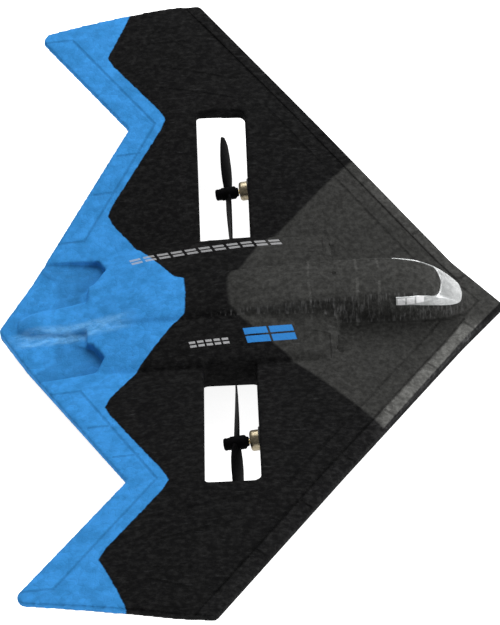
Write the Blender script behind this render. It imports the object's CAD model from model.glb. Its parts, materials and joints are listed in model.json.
"""Looks for the rc flying wing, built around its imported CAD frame. Shader lengths are in millimetres."""

import json
import math

import bmesh
import bpy
import numpy as np
from mathutils import Matrix, Vector


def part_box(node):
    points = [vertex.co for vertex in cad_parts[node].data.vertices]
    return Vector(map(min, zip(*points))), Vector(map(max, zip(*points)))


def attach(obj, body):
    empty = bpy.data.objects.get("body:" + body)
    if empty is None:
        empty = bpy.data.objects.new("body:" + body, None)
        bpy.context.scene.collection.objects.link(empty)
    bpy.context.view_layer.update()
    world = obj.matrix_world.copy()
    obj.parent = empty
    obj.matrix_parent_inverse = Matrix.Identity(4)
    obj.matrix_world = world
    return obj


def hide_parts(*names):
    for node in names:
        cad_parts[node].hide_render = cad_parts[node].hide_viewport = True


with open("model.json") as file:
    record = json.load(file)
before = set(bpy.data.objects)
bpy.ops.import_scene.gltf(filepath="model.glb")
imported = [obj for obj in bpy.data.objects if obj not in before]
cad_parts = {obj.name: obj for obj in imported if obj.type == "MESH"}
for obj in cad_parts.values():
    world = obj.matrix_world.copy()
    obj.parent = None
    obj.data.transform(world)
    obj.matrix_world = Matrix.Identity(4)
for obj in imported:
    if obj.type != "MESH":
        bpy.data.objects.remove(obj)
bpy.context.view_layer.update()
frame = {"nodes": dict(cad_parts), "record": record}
NODES = frame["nodes"]
MM = 0.001

# The straight leading edge in plan view: where it would meet the centre line, and its slope.
NOSE_X, NOSE_SLOPE = 100.0, -0.7186

# Spray borders as (distance from the centre line, x).
BLUE_BORDER = [
    (0, -24.5), (9.5, -25), (13, -29.5), (46, -54), (51, -56), (56, -54), (90.5, -33.5), (95.5, -31.5),
    (100, -33.5), (127, -53.5), (132, -56), (137, -53.5), (150, -48), (165, -42.5),
]
GREY_BORDER = [(0, -8), (8, -7.5), (18, 1.5), (41, 23.5), (67, 46), (84, 60), (165, 140)]
# The graphite reaches this much further aft on the port side.
PORT_GREY_SHIFT = 5.0

# Paints as (darkest, lightest).
BLACK = ((0.0045, 0.0045, 0.0047), (0.0150, 0.0150, 0.0150))
GRAPHITE = ((0.021, 0.021, 0.020), (0.044, 0.044, 0.042))
AZURE = ((0.030, 0.205, 0.50), (0.045, 0.268, 0.66))
WELL_BLACK = (0.0015, 0.0015, 0.0016)
RUB_GREY = (0.17, 0.17, 0.17)
STROKE_GREY = (0.30, 0.31, 0.32)
HAZE_BLUE = (0.22, 0.54, 0.92)
BAR_GREY, SMALL_BAR_GREY, BAR_BLUE = (0.42, 0.42, 0.43), (0.48, 0.48, 0.49), (0.030, 0.200, 0.540)

# Width of the rail along the leading edge, and the cell size of the foam.
RAIL, BEAD = 8.0, 2.3


# ---------------------------------------------------------------- shader building


class Finish:
    """One material: a Principled surface and short calls that put nodes in front of it."""

    def __init__(self, name, **constants):
        self.material = bpy.data.materials.new(name)
        self.material.use_nodes = True
        self.tree = self.material.node_tree
        self.surface = self.tree.nodes["Principled BSDF"]
        for socket, value in constants.items():
            self.surface.inputs[socket.replace("_", " ")].default_value = value
        place = self.node("TexCoord").outputs
        self.place = self.vector("SCALE", place["Object"], Scale=1000.0)
        self.facing = self.split(place["Normal"])
        self.x, self.y, self.z = self.split(self.place)
        self.side = self.maths("ABSOLUTE", self.y)

    def node(self, kind, **settings):
        made = self.tree.nodes.new("ShaderNode" + kind)
        for name, value in settings.items():
            setattr(made, name, value)
        return made

    def feed(self, socket, value):
        if isinstance(value, bpy.types.NodeSocket):
            self.tree.links.new(value, socket)
        else:
            socket.default_value = value

    def maths(self, operation, *values, clamp=False):
        made = self.node("Math", operation=operation, use_clamp=clamp)
        for socket, value in zip(made.inputs, values):
            self.feed(socket, value)
        return made.outputs[0]

    def vector(self, operation, *values, out=0, **named):
        made = self.node("VectorMath", operation=operation)
        for socket, value in zip(made.inputs, values):
            self.feed(socket, value)
        for name, value in named.items():
            self.feed(made.inputs[name], value)
        return made.outputs[out]

    def split(self, vector):
        made = self.node("SeparateXYZ")
        self.feed(made.inputs[0], vector)
        return made.outputs

    def join(self, x, y, z=0.0):
        made = self.node("CombineXYZ")
        for socket, value in zip(made.inputs, (x, y, z)):
            self.feed(socket, value)
        return made.outputs[0]

    def stretched(self, x, y, z):
        return self.vector("MULTIPLY", self.place, (x, y, z))

    def noise(self, size, detail=3.0, rough=0.55, warp=0.0, at=None):
        made = self.node("TexNoise")
        self.feed(made.inputs["Vector"], at or self.place)
        settings = {"Scale": 1.0 / size, "Detail": detail, "Roughness": rough, "Distortion": warp}
        for name, value in settings.items():
            made.inputs[name].default_value = value
        return made.outputs["Fac"]

    def cells(self, size, feature="F1", at=None, jitter=1.0):
        made = self.node("TexVoronoi", feature=feature)
        self.feed(made.inputs["Vector"], at or self.place)
        made.inputs["Scale"].default_value = 1.0 / size
        made.inputs["Randomness"].default_value = jitter
        return made.outputs

    def wave(self, size, direction="X", warp=0.0, at=None):
        made = self.node("TexWave", bands_direction=direction)
        self.feed(made.inputs["Vector"], at or self.place)
        made.inputs["Scale"].default_value = math.pi / 10.0 / size
        made.inputs["Distortion"].default_value = warp
        return made.outputs["Fac"]

    def between(self, value, low, high, to_low=0.0, to_high=1.0):
        """Smoothly from to_low at low to to_high at high."""
        made = self.node("MapRange", interpolation_type="SMOOTHSTEP")
        for socket, number in zip(made.inputs, (value, low, high, to_low, to_high)):
            self.feed(socket, number)
        return made.outputs[0]

    def inside(self, value, low, high, soft=0.12):
        """1 between low and high."""
        above = self.between(value, low - soft, low + soft)
        below = self.between(value, high + soft, high - soft)
        return self.maths("MULTIPLY", above, below)

    def times(self, *values):
        made = values[0]
        for value in values[1:]:
            made = self.maths("MULTIPLY", made, value)
        return made

    def most(self, *values):
        made = values[0]
        for value in values[1:]:
            made = self.maths("MAXIMUM", made, value)
        return made

    def least(self, *values):
        made = values[0]
        for value in values[1:]:
            made = self.maths("MINIMUM", made, value)
        return made

    def graph(self, value, points, span, low, high):
        """The height at value of a line through points, over 0 to span and within low to high."""
        made = self.node("FloatCurve")
        line = made.mapping.curves[0]
        spots = [(x / span, (y - low) / (high - low)) for x, y in points]
        line.points[0].location, line.points[1].location = spots[0], spots[-1]
        for spot in spots[1:-1]:
            line.points.new(*spot)
        for point in line.points:
            point.handle_type = "VECTOR"
        made.mapping.update()
        self.feed(made.inputs["Value"], self.maths("DIVIDE", value, span))
        return self.maths("MULTIPLY_ADD", made.outputs[0], high - low, low)

    def mix(self, factor, first, second):
        made = self.node("Mix", data_type="RGBA")
        for socket, value in ((0, factor), (6, first), (7, second)):
            if isinstance(value, tuple):
                value = (*value, 1.0)
            self.feed(made.inputs[socket], value)
        return made.outputs[2]

    def ramp(self, value, *stops):
        made = self.node("ValToRGB")
        band = made.color_ramp
        while len(band.elements) < len(stops):
            band.elements.new(0.5)
        for element, (at, colour) in zip(band.elements, stops):
            element.position, element.color = at, (*colour, 1.0)
        self.feed(made.inputs[0], value)
        return made.outputs[0]

    def shade(self, colour, factor):
        """colour times a number at each point."""
        made = self.node("VectorMath", operation="SCALE")
        self.feed(made.inputs[0], colour)
        self.feed(made.inputs["Scale"], factor)
        return made.outputs[0]

    def stroke(self, spot, start, end):
        """How far spot lies from a straight line between two points."""
        run = Vector((end[0] - start[0], end[1] - start[1], 0.0))
        away = self.vector("SUBTRACT", spot, (start[0], start[1], 0.0))
        share = self.vector("DOT_PRODUCT", away, tuple(run / run.length_squared), out=1)
        share = self.maths("ADD", share, 0.0, clamp=True)
        near = self.vector("SCALE", tuple(run), Scale=share)
        return self.vector("LENGTH", self.vector("SUBTRACT", away, near), out=1)

    def colour(self, value):
        self.feed(self.surface.inputs["Base Color"], value)

    def rough(self, value):
        self.feed(self.surface.inputs["Roughness"], value)

    def relief(self, *layers):
        """Stacks (height, depth in millimetres) layers of bump."""
        under = None
        for height, depth in layers:
            made = self.node("Bump")
            made.inputs["Distance"].default_value = depth * MM
            self.feed(made.inputs["Height"], height)
            if under is not None:
                self.feed(made.inputs["Normal"], under)
            under = made.outputs[0]
        self.feed(self.surface.inputs["Normal"], under)


# ---------------------------------------------------------------- materials


def inset(side, distance):
    """The point that far behind the leading edge, level with side on it."""
    length = math.hypot(1.0, NOSE_SLOPE)
    return (NOSE_X + NOSE_SLOPE * side - distance / length, side + distance * NOSE_SLOPE / length)


def pressed_lines():
    """The straight lines pressed into the upper skin, in plan view."""
    lines = [(inset(14, 6.5), inset(154, 6.5)), (inset(20, 13.8), inset(108, 13.8))]
    lines += [(inset(side, 0.0), inset(side, 6.5)) for side in (15, 38, 64, 88, 111, 134)]
    lines += [((-66, 40), (-36, 94)), ((-36, 94), (-71.5, 144)), ((-66, 40), (-77, 40))]
    lines += [((-71.5, 144), (-84, 144)), ((-35, 113), (-2, 105)), ((-35.5, 125), (-6, 117))]
    lines += [((-38, 137.5), (-23, 138.5)), ((-38, 143), (-25, 147))]
    lines += [((-62, 62), (-53, 62)), ((-52, 80), (-43, 80))]
    return lines


def seam_lines():
    """Pale seams across the hump and down its sides."""
    return [((24, 2), (24.5, 15)), ((43, 2), (42.5, 14)), ((51.5, 4), (51, 12))]


def hump_lines():
    """Thin lines along the hump's sides and on the nacelles' front ends."""
    return [((24.5, 11), (42, 11.5)), ((31, 22), (31, 32)), ((31, 22), (24, 21))]


def nearest(finish, lines, spot):
    """How far spot lies from the nearest line. Each is folded in as it is made, to keep the shader small."""
    made = finish.stroke(spot, *lines[0])
    for start, end in lines[1:]:
        made = finish.least(made, finish.stroke(spot, start, end))
    return made


def dashes(finish, start, end, height, count, fill, slant, slit):
    """A row of plain slanted bars from start to end on the upper skin, each with a slit along its middle."""
    along = Vector((end[0] - start[0], end[1] - start[1], 0.0))
    length = along.length
    along.normalize()
    away = finish.vector("SUBTRACT", finish.join(finish.x, finish.y), (start[0], start[1], 0.0))
    u = finish.vector("DOT_PRODUCT", away, tuple(along), out=1)
    v = finish.vector("DOT_PRODUCT", away, (-along.y, along.x, 0.0), out=1)
    leaning = finish.maths("MULTIPLY_ADD", v, slant, u)
    step = finish.maths("FRACT", finish.maths("MULTIPLY", leaning, count / length))
    bar = finish.times(
        finish.inside(step, 0.02, fill, 0.02),
        finish.inside(v, 0.0, height),
        finish.inside(leaning, 0.0, length, 0.05),
        finish.between(finish.facing[2], 0.1, 0.3),
    )
    middle = finish.maths("ABSOLUTE", finish.maths("SUBTRACT", v, height / 2))
    return finish.times(bar, finish.between(middle, slit - 0.15, slit + 0.15))


def sprayed(f, edge):
    """Black, graphite and blue paint, each a little uneven, with soft hand-sprayed borders."""
    upper = f.times(f.between(f.facing[2], -0.45, -0.15), f.between(f.z, 8.0, 9.0))
    under_edge = f.times(f.between(edge, NOSE_X - 5.0, NOSE_X - 4.0), f.between(f.facing[2], 0.90, 0.72))
    wander = f.maths("MULTIPLY", f.maths("SUBTRACT", f.noise(2.2, 3.0), 0.5), 1.1)
    blue_from = f.graph(f.side, BLUE_BORDER, 165.0, -100.0, 100.0)
    grey_from = f.graph(f.side, GREY_BORDER, 165.0, -40.0, 160.0)
    into_blue = f.maths("ADD", f.maths("SUBTRACT", blue_from, f.x), wander)
    into_grey = f.maths("ADD", f.maths("SUBTRACT", f.x, grey_from), wander)
    into_grey = f.maths("ADD", into_grey, f.between(f.y, 12.0, 30.0, 0.0, PORT_GREY_SHIFT))
    blue = f.times(f.between(into_blue, -0.3, 0.4), upper)
    grey = f.times(f.between(into_grey, -0.8, 1.2), upper, f.maths("SUBTRACT", 1.0, under_edge))

    speckle = f.between(f.noise(1.7, 4.0, 0.65, at=f.stretched(0.7, 1.0, 1.0)), 0.38, 0.78)
    black = f.mix(speckle, *BLACK)
    dust = f.between(f.noise(1.9, 4.0, 0.7), 0.32, 0.72)
    graphite = f.mix(dust, *GRAPHITE)
    azure = f.mix(f.between(f.noise(5.5, 5.0, 0.62), 0.3, 0.7), *AZURE)
    skin = f.mix(blue, f.mix(grey, black, graphite), azure)
    up = f.facing[2]

    # The hump's roof is a little paler, the troughs' floors darker and the openings' walls nearly black.
    roof = f.times(f.between(f.side, 11.0, 8.5), f.between(f.x, -10.0, 12.0), f.between(up, 0.6, 0.9))
    skin = f.mix(f.times(roof, grey, 0.45), skin, f.shade(skin, 1.5))
    trough_plan = (f.inside(f.x, -84.0, -56.0, 1.5), f.inside(f.side, 6.0, 31.8, 0.4))
    trough = f.times(f.inside(f.z, 14.6, 15.6, 0.2), *trough_plan)
    skin = f.mix(f.times(trough, 0.8), skin, f.shade(skin, 0.72))
    well_plan = (f.inside(f.side, 40.0, 94.0, 1.0), f.inside(f.x, -26.0, 20.0, 1.0))
    return f.mix(f.times(*well_plan, f.inside(up, -0.2, 0.2)), skin, WELL_BLACK)


def rubbed(f, skin):
    """Pale rubs on the hump's sides, faint long strokes over the wing and a haze on the tail's ridge."""
    up = f.facing[2]
    hump = f.times(f.between(f.side, 24.0, 17.0), f.inside(f.x, -12.0, 84.0, 6.0), f.between(up, 0.93, 0.7))
    hump = f.times(hump, f.between(f.z, 12.0, 15.0))
    rubs = f.between(f.noise(1.3, 3.0, 0.6, at=f.stretched(1.3, 0.25, 0.25)), 0.46, 0.74)
    skin = f.mix(f.times(rubs, hump, 0.50), skin, RUB_GREY)
    strokes = f.between(f.noise(1.1, 4.0, 0.6, at=f.stretched(0.16, 1.3, 1.0)), 0.60, 0.80)
    skin = f.mix(f.times(strokes, 0.07), skin, STROKE_GREY)
    from_ridge = f.maths("ABSOLUTE", f.maths("ADD", f.y, 7.5))
    ridge = f.times(f.between(from_ridge, 5.0, 2.5), f.inside(f.x, -92.0, -50.0, 8.0))
    haze = f.between(f.noise(1.6, 4.0, 0.6, at=f.stretched(0.3, 1.0, 1.0)), 0.3, 0.7, 0.1, 0.55)
    return f.mix(f.times(ridge, haze, f.between(up, -0.3, -0.1)), skin, HAZE_BLUE)


def hump_foot(f):
    """The dark crease where the hump's side meets the wing ahead of the nacelles."""
    line = [(0, 12.7), (30, 12.2), (40, 11.6), (48, 10.4), (56, 7.0), (60, 2.0)]
    foot = f.graph(f.maths("SUBTRACT", f.x, 30.0), line, 60.0, 0.0, 20.0)
    away = f.maths("ABSOLUTE", f.maths("SUBTRACT", f.side, foot))
    return f.times(f.between(away, 1.3, 0.2), f.between(f.x, 35.0, 38.0), f.between(f.facing[2], -0.2, 0.0))


def scuffed(f, skin, rail):
    """The rail along the leading edge, scuffed paler near the nose and more so to starboard."""
    worn = f.times(f.between(f.y, 10.0, -10.0, 0.2, 1.0), f.between(f.x, 44.0, 52.0, 0.15, 1.0))
    patch = f.between(f.noise(7.0, 3.0, 0.6), 0.3, 0.7, 0.6, 1.0)
    return f.mix(f.times(rail, worn, patch), skin, f.shade(skin, 3.6))


def creased(f, skin, edge, top):
    """The skin with its pressed lines and seams, and how deep each point of it is pressed."""
    spot = f.join(f.x, f.side)
    wobble = f.maths("MULTIPLY", f.noise(1.4, 2.0), 0.7)
    line = f.maths("ADD", nearest(f, pressed_lines(), spot), wobble)
    aft_of_rail = f.between(edge, NOSE_X - 18.0, NOSE_X - 15.0, 0.55, 1.0)
    groove = f.times(f.between(line, 1.35, 0.40), top, aft_of_rail)
    fine = f.maths("ADD", nearest(f, hump_lines(), spot), wobble)
    scribe = f.times(f.between(fine, 0.95, 0.35), f.between(f.facing[2], 0.0, 0.2), 0.65)
    dot = f.vector("LENGTH", f.vector("SUBTRACT", f.join(f.x, f.y), (34.0, 1.8, 0.0)), out=1)
    pressed = f.most(groove, scribe, f.times(f.between(dot, 1.1, 0.6), top))
    skin = f.shade(skin, f.maths("SUBTRACT", 1.0, f.times(f.most(pressed, hump_foot(f)), 0.40)))
    seam = f.maths("ADD", nearest(f, seam_lines(), spot), wobble)
    return f.shade(skin, f.between(seam, 1.1, 0.6, 1.0, 1.5)), pressed


def barred(f, skin):
    """Plain bars on the engine humps: a long pale row to port, a short one and a blue patch to starboard."""
    pale = dashes(f, (-46.0, 22.5), (16.0, 27.0), 3.4, 11, 0.80, 0.35, 0.40)
    small = dashes(f, (-23.0, -25.5), (-7.0, -25.0), 2.7, 5, 0.78, 0.25, 0.35)
    sky = dashes(f, (-1.0, -25.5), (19.0, -24.5), 6.9, 2, 0.93, 0.2, 0.4)
    skin = f.mix(f.times(pale, 0.60), skin, BAR_GREY)
    skin = f.mix(f.times(small, 0.70), skin, SMALL_BAR_GREY)
    return f.mix(f.times(sky, 0.92), skin, BAR_BLUE)


def epp_foam():
    """Moulded bead foam sprayed in three colours, with pressed lines and plain bars."""
    f = Finish("epp_foam", Specular_IOR_Level=0.015)
    top = f.between(f.facing[2], 0.15, 0.45)
    edge = f.maths("MULTIPLY_ADD", f.side, -NOSE_SLOPE, f.x)
    skin = rubbed(f, sprayed(f, edge))
    rail_start = f.between(edge, NOSE_X - RAIL - 0.4, NOSE_X - RAIL + 0.6)
    rail = f.times(rail_start, top, f.between(f.side, 8.0, 14.0))
    skin = scuffed(f, skin, rail)
    skin, pressed = creased(f, skin, edge, top)

    beads = f.cells(BEAD)
    seams = f.cells(BEAD, "DISTANCE_TO_EDGE")["Distance"]
    mottle = f.noise(5.5, 5.0, 0.62)
    skin = f.shade(skin, f.between(seams, 0.0, 0.10, 0.95, 1.0))
    skin = f.shade(skin, f.between(f.split(beads["Color"])[0], 0.0, 1.0, 0.94, 1.06))

    f.colour(barred(f, skin))
    f.rough(f.between(mottle, 0.2, 0.8, 0.52, 0.78))
    f.relief(
        (f.between(seams, 0.0, 0.16), 0.025),
        (mottle, 0.35),
        (f.noise(0.55, 2.0), 0.05),
        (f.maths("SUBTRACT", 1.0, pressed), 0.30),
        (rail, 0.35),
    )
    return f.material


def silver_film():
    """Thin metallic film over foam, crinkled, with three bright panes at its rear ends."""
    f = Finish("silver_film", Metallic=0.35, Specular_IOR_Level=0.5)
    crinkle = f.noise(3.2, 4.0, 0.6, 0.4)
    scratch = f.noise(0.5, 3.0, 0.6, at=f.stretched(0.15, 1.0, 1.0))
    tone = f.ramp(crinkle, (0.3, (0.30, 0.31, 0.31)), (0.7, (0.46, 0.47, 0.47)))
    tone = f.mix(f.between(scratch, 0.55, 0.7), tone, (0.26, 0.26, 0.27))
    step = f.maths("FRACT", f.maths("DIVIDE", f.maths("SUBTRACT", f.x, 57.9), 3.7))
    strip = f.times(f.inside(f.x, 58.0, 68.9), f.inside(f.z, 28.6, 31.6, 0.1))
    pane = f.times(f.inside(step, 0.06, 0.88, 0.04), strip)
    tone = f.mix(pane, tone, (0.72, 0.72, 0.73))
    f.colour(tone)
    f.rough(f.between(scratch, 0.3, 0.7, 0.28, 0.42))
    f.relief((crinkle, 0.3), (scratch, 0.03))
    return f.material


def moulded(name, dark, light, gloss, spark=0.03, shine=0.4):
    """Injection-moulded plastic with a fine spark-eroded texture and faint flow marks."""
    f = Finish(name, Specular_IOR_Level=shine)
    texture = f.noise(0.28, 2.0, 0.6)
    flow = f.noise(6.0, 4.0, 0.6, 1.5)
    rub = f.between(f.noise(0.9, 3.0, 0.6, at=f.stretched(0.2, 1.4, 1.0)), 0.62, 0.8)
    tone = f.mix(f.between(flow, 0.3, 0.7), dark, light)
    lighter = tuple(min(1.0, c * 1.8 + 0.01) for c in light)
    f.colour(f.mix(f.times(rub, 0.35), tone, lighter))
    f.rough(f.between(texture, 0.3, 0.7, gloss - 0.07, gloss + 0.09))
    f.relief((texture, spark), (flow, 0.08))
    return f.material


def black_plastic():
    return moulded("black_plastic", (0.012, 0.012, 0.013), (0.022, 0.022, 0.024), 0.48)


def white_plastic():
    return moulded("white_plastic", (0.62, 0.61, 0.58), (0.74, 0.73, 0.70), 0.38, 0.015)


def prop_plastic():
    return moulded("prop_plastic", (0.0025, 0.0025, 0.0027), (0.0045, 0.0045, 0.005), 0.60, 0.012, 0.01)


def metal(name, dark, light, gloss, grain=(1.0, 1.0, 1.0), depth=0.02, tarnish=None):
    """Drawn or turned metal: fine lines along its working direction, and tarnish in patches."""
    f = Finish(name, Metallic=1.0)
    lines = f.noise(0.22, 3.0, 0.6, at=f.stretched(*grain))
    patches = f.noise(2.4, 4.0, 0.6, 0.6)
    tone = f.mix(f.between(lines, 0.35, 0.65), dark, light)
    if tarnish:
        tone = f.mix(f.between(patches, 0.52, 0.75), tone, tarnish)
    f.colour(tone)
    f.rough(f.between(patches, 0.3, 0.75, gloss - 0.06, gloss + 0.12))
    f.relief((lines, depth))
    return f.material


def steel():
    return metal("steel", (0.42, 0.42, 0.43), (0.60, 0.60, 0.61), 0.28, (0.2, 1.0, 1.0), 0.008)


def can_metal():
    dark, light, tarnish = (0.20, 0.17, 0.11), (0.36, 0.31, 0.22), (0.14, 0.12, 0.08)
    return metal("can_metal", dark, light, 0.36, (0.25, 1.0, 1.0), 0.012, tarnish)


def brass():
    dark, light, tarnish = (0.56, 0.40, 0.15), (0.72, 0.54, 0.24), (0.36, 0.24, 0.10)
    return metal("brass", dark, light, 0.26, (1.0, 1.0, 0.3), 0.01, tarnish)


def magnet():
    dark, light, tarnish = (0.10, 0.10, 0.105), (0.17, 0.17, 0.175), (0.07, 0.07, 0.075)
    return metal("magnet", dark, light, 0.55, (1.0, 1.0, 1.0), 0.03, tarnish)


def copper():
    """Enamelled winding wire: fine parallel strands under varnish."""
    f = Finish("copper", Metallic=0.9, Coat_Weight=0.5, Coat_Roughness=0.15)
    strands = f.wave(0.14, "X", 0.4)
    patches = f.noise(0.9, 3.0)
    tone = f.mix(strands, (0.30, 0.09, 0.03), (0.62, 0.24, 0.10))
    f.colour(f.mix(f.between(patches, 0.5, 0.8), tone, (0.45, 0.16, 0.07)))
    f.rough(f.between(patches, 0.3, 0.7, 0.22, 0.38))
    f.relief((strands, 0.06))
    return f.material


def board():
    """Circuit board: solder mask over copper runs, with tinned pads and through-holes."""
    f = Finish("board", Specular_IOR_Level=0.5, Coat_Weight=0.35, Coat_Roughness=0.2)
    drift = f.join(f.noise(7.0, 0.0), f.noise(7.0, 0.0, at=f.stretched(1.0, -1.0, 1.0)))
    at = f.vector("ADD", f.place, f.shade(drift, 1.5))
    lanes = f.node("TexVoronoi", feature="DISTANCE_TO_EDGE")
    f.feed(lanes.inputs["Vector"], f.vector("MULTIPLY", at, (0.9, 0.9, 0.0)))
    lanes.inputs["Scale"].default_value = 0.55
    lanes.inputs["Randomness"].default_value = 0.35
    runs = f.inside(lanes.outputs["Distance"], 0.12, 0.22, 0.02)
    grid = f.vector("SUBTRACT", f.vector("FRACTION", f.vector("SCALE", f.place, Scale=0.5)), (0.5, 0.5, 0.0))
    round_pad = f.vector("LENGTH", f.vector("MULTIPLY", grid, (1.0, 1.0, 0.0)), out=1)
    chosen = f.between(f.split(f.cells(2.0, jitter=0.0)["Color"])[0], 0.70, 0.72)
    pads = f.times(f.between(round_pad, 0.24, 0.20), chosen)
    holes = f.times(f.between(round_pad, 0.12, 0.09), chosen)
    mask = f.mix(runs, (0.010, 0.052, 0.030), (0.024, 0.115, 0.062))
    mask = f.mix(pads, mask, (0.62, 0.60, 0.54))
    f.colour(f.mix(holes, mask, (0.01, 0.01, 0.01)))
    f.rough(f.mix(pads, (0.34, 0.34, 0.34), (0.2, 0.2, 0.2)))
    f.relief((runs, 0.03), (pads, 0.03), (f.noise(0.3, 2.0), 0.01))
    return f.material


def chip():
    """Moulded epoxy package with a fine sandy face."""
    f = Finish("chip", Specular_IOR_Level=0.35)
    sand = f.noise(0.12, 2.0, 0.7)
    cloud = f.noise(1.8, 3.0)
    f.colour(f.mix(f.between(cloud, 0.3, 0.7), (0.012, 0.012, 0.013), (0.022, 0.022, 0.023)))
    f.rough(f.between(sand, 0.3, 0.7, 0.5, 0.68))
    f.relief((sand, 0.015))
    return f.material


def cell():
    """Aluminium laminate pouch of a lithium cell: soft wrinkles and a satin metal sheen."""
    f = Finish("cell", Metallic=0.75)
    wrinkle = f.noise(4.5, 4.0, 0.6, 1.2)
    brushed = f.noise(0.4, 2.0, 0.6, at=f.stretched(0.1, 1.0, 1.0))
    f.colour(f.mix(f.between(wrinkle, 0.3, 0.7), (0.48, 0.49, 0.51), (0.62, 0.63, 0.65)))
    f.rough(f.between(brushed, 0.3, 0.7, 0.30, 0.44))
    f.relief((wrinkle, 0.35), (brushed, 0.01))
    return f.material


def pad_foam():
    """Open-cell mounting foam."""
    f = Finish("pad_foam", Specular_IOR_Level=0.15, Sheen_Weight=0.2)
    pores = f.cells(0.45)["Distance"]
    patches = f.noise(3.0, 4.0)
    tone = f.mix(f.between(patches, 0.3, 0.7), (0.045, 0.045, 0.048), (0.075, 0.075, 0.078))
    f.colour(f.shade(tone, f.between(pores, 0.15, 0.6, 0.45, 1.1)))
    f.rough(f.between(patches, 0.3, 0.7, 0.82, 0.95))
    f.relief((pores, 0.18), (patches, 0.2))
    return f.material


def insulation(name, dark, light):
    """Soft wire sleeving with a faint extrusion grain and finger marks."""
    f = Finish(name, Specular_IOR_Level=0.45)
    grain = f.noise(0.25, 3.0)
    marks = f.noise(1.7, 3.0, 0.6, 0.8)
    f.colour(f.mix(f.between(marks, 0.3, 0.7), dark, light))
    f.rough(f.between(marks, 0.3, 0.7, 0.34, 0.50))
    f.relief((grain, 0.02))
    return f.material


def red_wire():
    return insulation("red_wire", (0.42, 0.010, 0.008), (0.56, 0.022, 0.016))


def black_wire():
    return insulation("black_wire", (0.010, 0.010, 0.010), (0.022, 0.022, 0.022))


def blue_wire():
    return insulation("blue_wire", (0.010, 0.055, 0.36), (0.018, 0.090, 0.48))


def lens():
    """Milky light guide with small bubbles."""
    f = Finish("lens", Specular_IOR_Level=0.5, Transmission_Weight=0.35, IOR=1.49)
    haze = f.noise(1.1, 3.0)
    bubbles = f.between(f.cells(0.5)["Distance"], 0.12, 0.2)
    f.colour(f.mix(f.between(haze, 0.3, 0.7), (0.66, 0.70, 0.70), (0.80, 0.83, 0.82)))
    f.rough(f.between(haze, 0.3, 0.7, 0.12, 0.26))
    f.relief((bubbles, 0.02), (haze, 0.05))
    return f.material


MATERIALS = (
    epp_foam, silver_film, black_plastic, white_plastic, prop_plastic, steel, can_metal, brass, magnet,
    copper, board, chip, cell, pad_foam, red_wire, black_wire, blue_wire, lens,
)


# ---------------------------------------------------------------- mesh building


def piece(name, vertices, faces, body, slot, *replaced, smooth=True):
    """A new mesh piece that rides on a body and stands for CAD nodes."""
    mesh = bpy.data.meshes.new(name)
    mesh.from_pydata([tuple(v) for v in vertices], [], faces)
    made = bpy.data.objects.new(name, mesh)
    return place(made, body, slot, *replaced, smooth=smooth)


def place(made, body, slot, *replaced, smooth=True):
    bpy.context.scene.collection.objects.link(made)
    made.data.polygons.foreach_set("use_smooth", [smooth] * len(made.data.polygons))
    made.data.materials.clear()
    made.data.materials.append(finishes[slot])
    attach(made, body)
    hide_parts(*replaced)
    return made


def baked(made):
    """The mesh of an object with its modifiers applied."""
    bpy.context.view_layer.update()
    shape = made.evaluated_get(bpy.context.evaluated_depsgraph_get())
    mesh = bpy.data.meshes.new_from_object(shape)
    made.modifiers.clear()
    made.data = mesh
    return made


def bridge(rings):
    """Quads between closed rings of equal length, numbered one after another."""
    count = len(rings[0])
    faces = []
    for row in range(len(rings) - 1):
        for i in range(count):
            j = (i + 1) % count
            faces.append((row * count + i, row * count + j, (row + 1) * count + j, (row + 1) * count + i))
    return faces


def foam_shell():
    """The airframe with soft moulded edges, as foam leaves a mould."""
    made = bpy.data.objects.new("airframe_foam", NODES["airframe"].data.copy())
    bpy.context.scene.collection.objects.link(made)
    remesh = made.modifiers.new("even", "REMESH")
    remesh.mode, remesh.voxel_size, remesh.adaptivity = "VOXEL", 0.6 * MM, 0.0
    relax = made.modifiers.new("soften", "SMOOTH")
    relax.factor, relax.iterations = 0.5, 6
    baked(made)
    bpy.context.scene.collection.objects.unlink(made)
    return place(made, "airframe", "epp_foam", "airframe")


# ---------------------------------------------------------------- propellers and motors

SHAFT_X, SHAFT_Z, SHAFT_SIDE = -6.5, 16.7, 66.6
THRUST_PITCH = math.radians(9.0)
AXIS = Vector((math.cos(THRUST_PITCH), 0.0, math.sin(THRUST_PITCH)))
BLADE = [
    (2.0, 4.8, 30.0, 1.5), (5.5, 6.8, 26.0, 1.2), (11.0, 9.0, 21.0, 1.0), (17.0, 9.8, 17.5, 0.85),
    (23.0, 9.2, 15.0, 0.7), (28.0, 7.2, 13.5, 0.55), (30.0, 3.8, 12.5, 0.4),
]
HUB = [
    (-5.0, 0.5), (-5.0, 1.8), (-4.85, 2.15), (-4.5, 2.35), (-3.9, 2.4), (-3.8, 2.28), (-3.5, 2.28),
    (-3.4, 2.4), (-2.6, 2.4), (-2.3, 2.7), (3.1, 2.7), (3.35, 2.55), (3.7, 2.1), (3.9, 1.9), (4.5, 1.8),
    (4.6, 1.65), (4.6, 0.5),
]


def motor_frame(side):
    """From (along the shaft, sideways, up) in millimetres to the row frame."""
    turn = Matrix((AXIS, (0.0, 1.0, 0.0), AXIS.cross(Vector((0.0, 1.0, 0.0))))).transposed().to_4x4()
    return Matrix.Translation(Vector((SHAFT_X, side * SHAFT_SIDE, SHAFT_Z)) * MM) @ turn @ Matrix.Scale(MM, 4)


def turned(outline, around=48, start=0):
    """A lathe of (along, radius) points about the shaft, closed on itself."""
    rings = []
    for along, radius in outline:
        angles = [2 * math.pi * i / around for i in range(around)]
        rings.append([(along, radius * math.cos(a), radius * math.sin(a)) for a in angles])
    rings.append(rings[0])
    faces = bridge(rings)
    total = around * len(outline)
    faces = [tuple(start + v % total for v in face) for face in faces]
    return [v for ring in rings[:-1] for v in ring], faces


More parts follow.
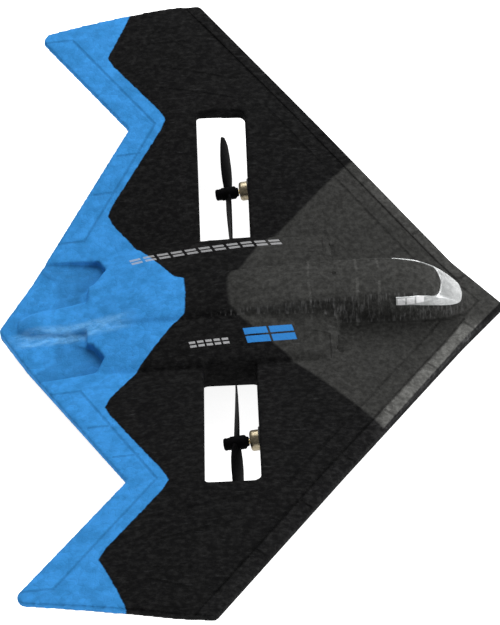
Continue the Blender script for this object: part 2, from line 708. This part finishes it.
def blade_rings(hand):
    """Airfoil sections from root to tip of one blade along +Y."""
    table = np.array(BLADE)
    rings = []
    for radius in [2.0 + 27.9 * (1 - (1 - i / 26) ** 1.35) for i in range(27)]:
        chord, pitch, thick = (np.interp(radius, table[:, 0], table[:, k]) for k in (1, 2, 3))
        tip = max(0.0, (radius - 26.8) / 3.1)
        chord = chord * math.sqrt(max(0.05, 1 - tip**2.4))
        beta = math.radians(pitch) * hand
        ring = []
        for i in range(28):
            angle = 2 * math.pi * i / 28
            along = 0.5 * chord * math.cos(angle)
            bulge = 0.5 * thick * math.sin(angle) * (1.0 - 0.35 * math.cos(angle))
            bulge += 0.05 * chord * (1 - (2 * along / max(chord, 0.01)) ** 2)
            x = -math.sin(beta) * along + math.cos(beta) * bulge
            z = math.cos(beta) * along + math.sin(beta) * bulge
            ring.append((x, radius, z))
        rings.append(ring)
    return rings


def propeller(name, side, rest_turn, hand):
    """Two twisted blades on a long stepped hub."""
    vertices, faces = turned(HUB)
    for flip in (1, -1):
        rings = blade_rings(hand)
        start = len(vertices)
        count = len(rings[0])
        for ring in rings:
            vertices += [(x, flip * y, flip * z) for x, y, z in ring]
        faces += [tuple(start + v for v in face) for face in bridge(rings)]
        faces.append(tuple(start + i for i in range(count)))
        faces.append(tuple(start + (len(rings) - 1) * count + i for i in range(count)))
    spin = Matrix.Rotation(math.radians(rest_turn), 4, "X")
    move = motor_frame(side) @ spin
    placed = [move @ Vector(v) for v in vertices]
    made = piece("propeller_" + name, placed, faces, "rotor_" + name, "prop_plastic", "propeller_" + name)
    tidy_normals(made)
    return sharp(made, 35.0)


def tidy_normals(made):
    shape = bmesh.new()
    shape.from_mesh(made.data)
    bmesh.ops.recalc_face_normals(shape, faces=shape.faces)
    shape.to_mesh(made.data)
    shape.free()


def sharp(made, angle):
    """Keeps edges over that angle crisp."""
    made.data.set_sharp_from_angle(angle=math.radians(angle))
    return made


CAN = [
    (21.3, 3.45), (21.3, 3.75), (21.1, 3.95), (20.8, 4.0), (6.5, 4.0), (5.9, 3.95), (5.5, 3.7), (5.3, 3.35),
    (5.3, 1.35), (5.3, 1.02), (5.75, 1.02), (5.75, 3.3), (6.1, 3.45),
]


def motor_can(name, side):
    """Drawn steel can with a rolled shoulder, two vents in its end and crimps at its mouth."""
    vertices, faces = turned(CAN, 64)
    shaped = []
    for along, y, z in vertices:
        radius, angle = math.hypot(y, z), math.atan2(z, y)
        if along > 19.0 and radius > 3.6:
            radius -= 0.16 * max(0.0, math.cos(4 * angle)) ** 6
        shaped.append((along, radius * math.cos(angle), radius * math.sin(angle)))
    move = motor_frame(side)
    made = piece("motor_can_" + name, [move @ Vector(v) for v in shaped], faces, "airframe", "can_metal",
                 "motor_can_" + name)
    tidy_normals(made)
    return sharp(made, 40.0)


# ---------------------------------------------------------------- battery and pads


def cushioned(name, node, slot, crown, round_by, *replaced):
    """A soft block in a CAD node's box, with rounded edges and slightly crowned faces."""
    low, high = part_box(node)
    middle, half = (low + high) / 2, (high - low) / 2
    shape = bmesh.new()
    bmesh.ops.create_cube(shape, size=2.0)
    bmesh.ops.subdivide_edges(shape, edges=shape.edges[:], cuts=15, use_grid_fill=True)
    soft = round_by * MM
    for v in shape.verts:
        spread = v.co.copy()
        inner = Vector([max(-h + soft, min(h - soft, s * h)) for s, h in zip(spread, half)])
        out = Vector([s * h for s, h in zip(spread, half)]) - inner
        point = inner + (out.normalized() * soft if out.length > 1e-9 else out)
        fall = max(0.0, 1 - spread.x**4) * max(0.0, 1 - spread.y**4)
        point.z *= 1 - crown * (1 - fall)
        v.co = middle + point
    mesh = bpy.data.meshes.new(name)
    shape.to_mesh(mesh)
    shape.free()
    made = bpy.data.objects.new(name, mesh)
    return place(made, "airframe", slot, *replaced)


# ---------------------------------------------------------------- the scene


def carried_over():
    """Gives each CAD node that still shows the material its record slot names."""
    for part in frame["record"]["subparts"]:
        node = NODES[part["node"]]
        node.data.materials.clear()
        node.data.materials.append(finishes[part["material_slot"]])


def floor():
    """A plain pale floor."""
    mesh = bpy.data.meshes.new("floor")
    half = 3.0
    corners = [(-half, -half, 0), (half, -half, 0), (half, half, 0), (-half, half, 0)]
    mesh.from_pydata(corners, [], [(0, 1, 2, 3)])
    made = bpy.data.objects.new("floor", mesh)
    bpy.context.scene.collection.objects.link(made)
    f = Finish("pale_floor", Specular_IOR_Level=0.1, Roughness=0.9)
    f.colour(f.mix(f.noise(40.0, 2.0), (0.86, 0.86, 0.86), (0.88, 0.88, 0.88)))
    f.surface.inputs["Emission Color"].default_value = (1.0, 1.0, 1.0, 1.0)
    f.surface.inputs["Emission Strength"].default_value = 0.9
    made.data.materials.append(f.material)


def lamp(name, spot, size, power, aim=(0.0, 0.0, 0.01)):
    data = bpy.data.lights.new(name, "AREA")
    data.size, data.energy = size, power
    made = bpy.data.objects.new(name, data)
    made.location = spot
    made.rotation_euler = (Vector(aim) - Vector(spot)).to_track_quat("-Z", "Y").to_euler()
    bpy.context.scene.collection.objects.link(made)


def studio():
    """A dim white room with soft lamps off the starboard bow and high beyond the port wing."""
    lamp("key", (1.05, -0.40, 0.52), 0.5, 11.5)
    lamp("back", (0.05, 0.85, 1.00), 0.9, 16.5)
    world = bpy.data.worlds.new("studio")
    world.use_nodes = True
    world.node_tree.nodes["Background"].inputs[0].default_value = (1.0, 1.0, 1.0, 1.0)
    world.node_tree.nodes["Background"].inputs[1].default_value = 0.30
    bpy.context.scene.world = world
    bpy.context.scene.view_settings.view_transform = "Standard"


def camera():
    """Looks steeply down at the aircraft from beyond its starboard wing, a little rolled."""
    elevation, roll = math.radians(48.0), math.radians(2.57)
    aim, distance = Vector((0.0006, 0.0, 0.0157)), 0.8346
    back = Vector((0.0, -math.cos(elevation), math.sin(elevation)))
    data = bpy.data.cameras.new("camera")
    data.lens, data.sensor_width, data.sensor_fit = 120.8, 36.0, "AUTO"
    data.clip_start, data.clip_end = 0.01, 20.0
    made = bpy.data.objects.new("camera", data)
    level = Matrix.Rotation(math.pi / 2 - elevation, 4, "X")
    made.matrix_world = Matrix.Translation(aim + distance * back) @ level @ Matrix.Rotation(-roll, 4, "Z")
    bpy.context.scene.collection.objects.link(made)
    bpy.context.scene.camera = made


finishes = {make.__name__: make() for make in MATERIALS}
carried_over()
foam_shell()
propeller("port", 1, 8.0, 1)
propeller("starboard", -1, -4.0, -1)
motor_can("port", 1)
motor_can("starboard", -1)
cushioned("battery_pouch", "battery_cell", "cell", 0.10, 1.2, "battery_cell")
for name, node in (("battery_pad_top", "battery_pad_upper"), ("battery_pad_base", "battery_pad_lower")):
    cushioned(name, node, "pad_foam", 0.12, 0.4, node)
floor()
studio()
camera()
